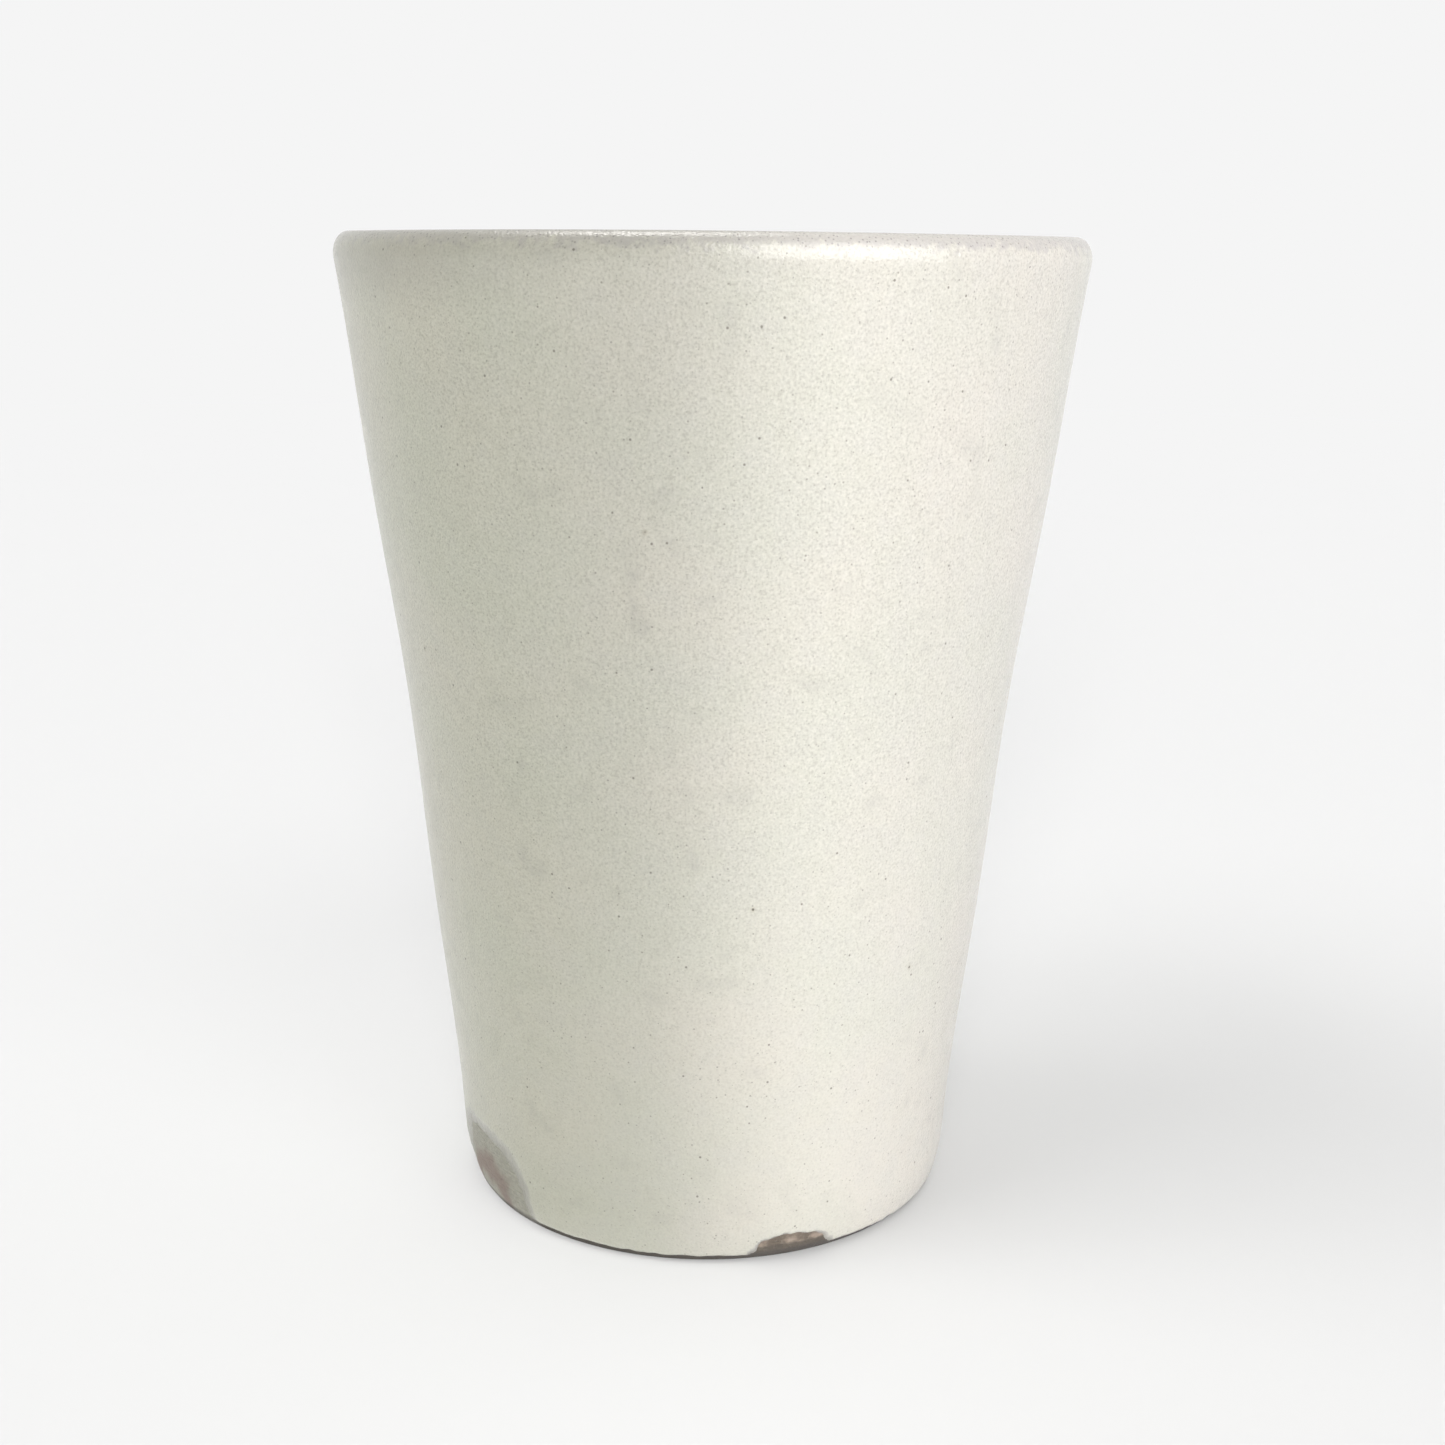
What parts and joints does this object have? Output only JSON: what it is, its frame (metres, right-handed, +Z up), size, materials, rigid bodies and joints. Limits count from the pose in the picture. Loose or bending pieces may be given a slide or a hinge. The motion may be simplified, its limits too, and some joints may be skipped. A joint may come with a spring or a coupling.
{
  "type": "tumbler",
  "caption": "Handleless tapered stoneware tumbler with a rounded lip, a bevelled foot, a glossy glaze inside and out, and bare finger marks at the foot.",
  "frame": {"origin": "centre of the foot, on the plane that the cup stands on", "axes": "+Z up through the middle of the mouth; -Y faces the front, between the thumb's mark and the fingertip's mark"},
  "size_m": [0.0853, 0.0854, 0.113],
  "materials": {
    "bare_clay": "matt fired stoneware",
    "cream_glaze": "satin gloss, speckled",
    "liner_glaze": "satin gloss, speckled"
  },
  "bodies": {
    "root": {"clay_body": "bare_clay", "outer_glaze": "cream_glaze", "inner_glaze": "liner_glaze"}
  },
  "joints": []
}
